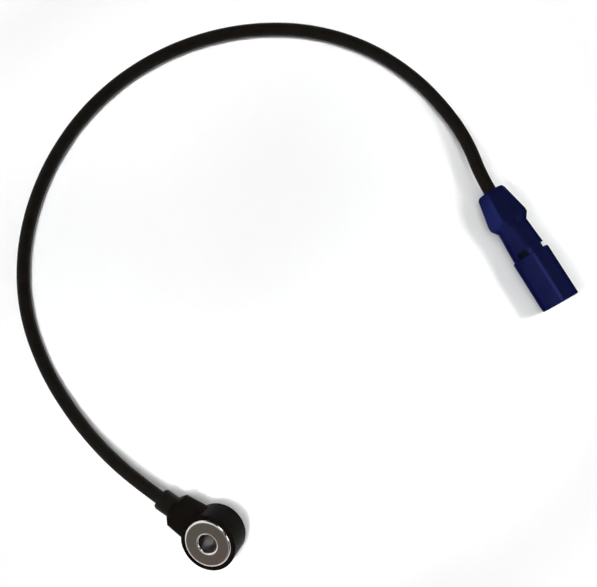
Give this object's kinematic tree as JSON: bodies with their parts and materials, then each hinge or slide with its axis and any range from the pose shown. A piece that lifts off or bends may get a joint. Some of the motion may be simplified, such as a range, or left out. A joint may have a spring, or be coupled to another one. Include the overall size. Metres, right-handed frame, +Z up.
{
  "type": "engine knock sensor",
  "caption": "Ring-shaped engine knock sensor moulded round a flanged bolt sleeve, with a fixed cable ending in a round sealed connector.",
  "frame": {"origin": "centre of the bolt bore, halfway along the steel sleeve", "axes": "+Z up from the surface that the part lies on; +X along the connector from its mouth to its cable end; the bolt bore leans 25 degrees from +Z, towards +Y"},
  "size_m": [0.2305, 0.2334, 0.0232],
  "materials": {
    "housing_plastic": "matte",
    "relief_plastic": "matte",
    "cable_jacket": "satin",
    "sleeve_steel": "satin",
    "inner_steel": "satin",
    "contact_brass": "satin",
    "insulator": "matte",
    "piezo_ceramic": "matte",
    "connector_blue": "satin",
    "carrier_blue": "satin",
    "seal_rubber": "matte",
    "core_insulation": "satin"
  },
  "bodies": {
    "root": {"sensor_housing": "housing_plastic", "flanged_sleeve": "sleeve_steel", "strain_relief": "relief_plastic", "flange_insulating_disc": "insulator", "mass_insulating_disc": "insulator", "flange_contact_disc": "contact_brass", "mass_contact_disc": "contact_brass", "piezo_ring": "piezo_ceramic", "seismic_mass": "inner_steel", "disc_spring": "inner_steel", "clamping_nut": "inner_steel", "signal_lead": "core_insulation", "ground_lead": "core_insulation", "cable": "cable_jacket", "connector_rear_shell": "connector_blue", "connector_sleeve": "connector_blue", "terminal_carrier": "carrier_blue", "terminal_lock": "carrier_blue", "carrier_seal": "seal_rubber", "cable_seal": "seal_rubber", "pin_seal_signal": "seal_rubber", "pin_seal_ground": "seal_rubber", "signal_pin": "contact_brass", "ground_pin": "contact_brass", "signal_core": "core_insulation", "ground_core": "core_insulation"}
  },
  "joints": []
}
